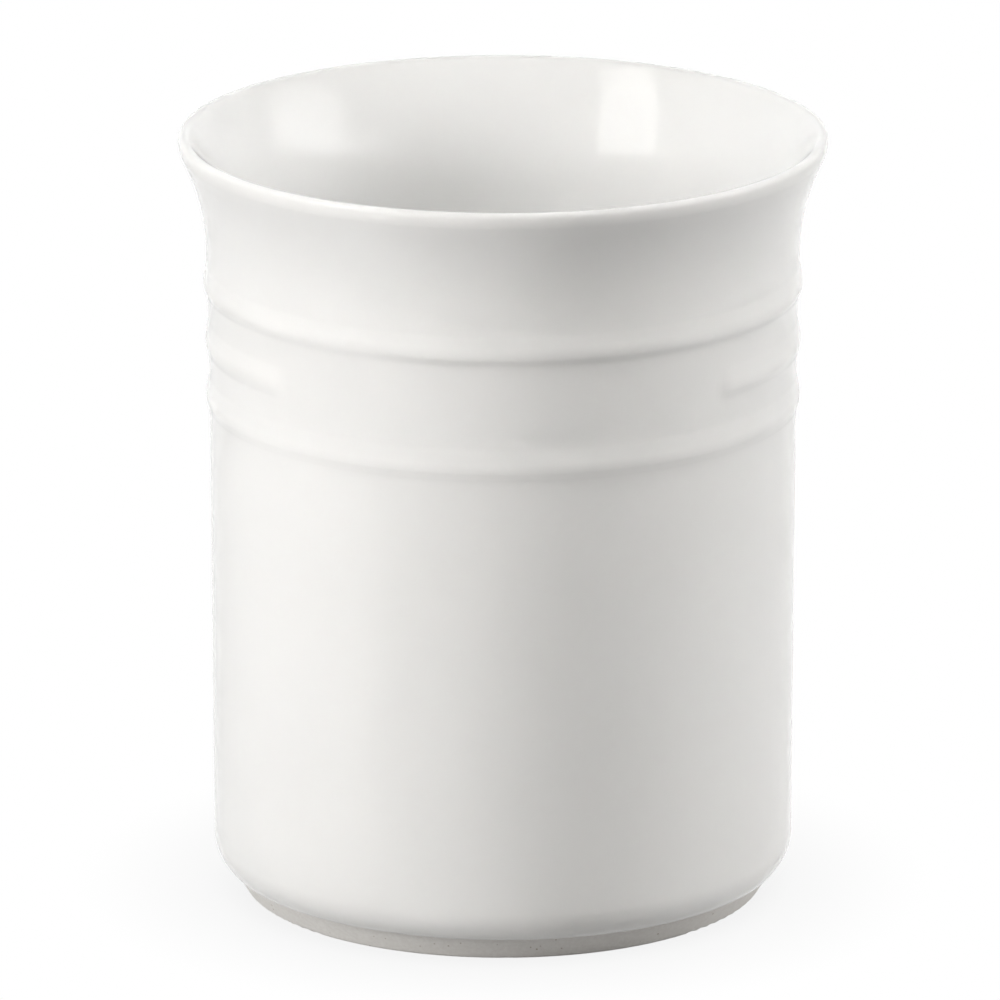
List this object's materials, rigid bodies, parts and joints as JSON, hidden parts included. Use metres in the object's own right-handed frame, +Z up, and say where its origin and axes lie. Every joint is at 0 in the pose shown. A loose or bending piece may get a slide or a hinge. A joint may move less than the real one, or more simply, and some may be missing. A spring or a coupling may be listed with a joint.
{
  "type": "utensil holder",
  "caption": "White glazed stoneware crock with a flared mouth, bead rings under the neck and a bare foot ring, for standing kitchen tools in.",
  "frame": {"origin": "centre of the foot ring, on the surface that the pot stands on", "axes": "+Z up along the pot's axis; -Y towards the front, where the middle bead ring is interrupted"},
  "size_m": [0.127, 0.127, 0.1529],
  "materials": {
    "bare_stoneware": "matte",
    "white_glaze": "gloss"
  },
  "bodies": {
    "root": {"stoneware_body": "bare_stoneware", "glaze_coat": "white_glaze", "underside_glaze": "white_glaze"}
  },
  "joints": []
}
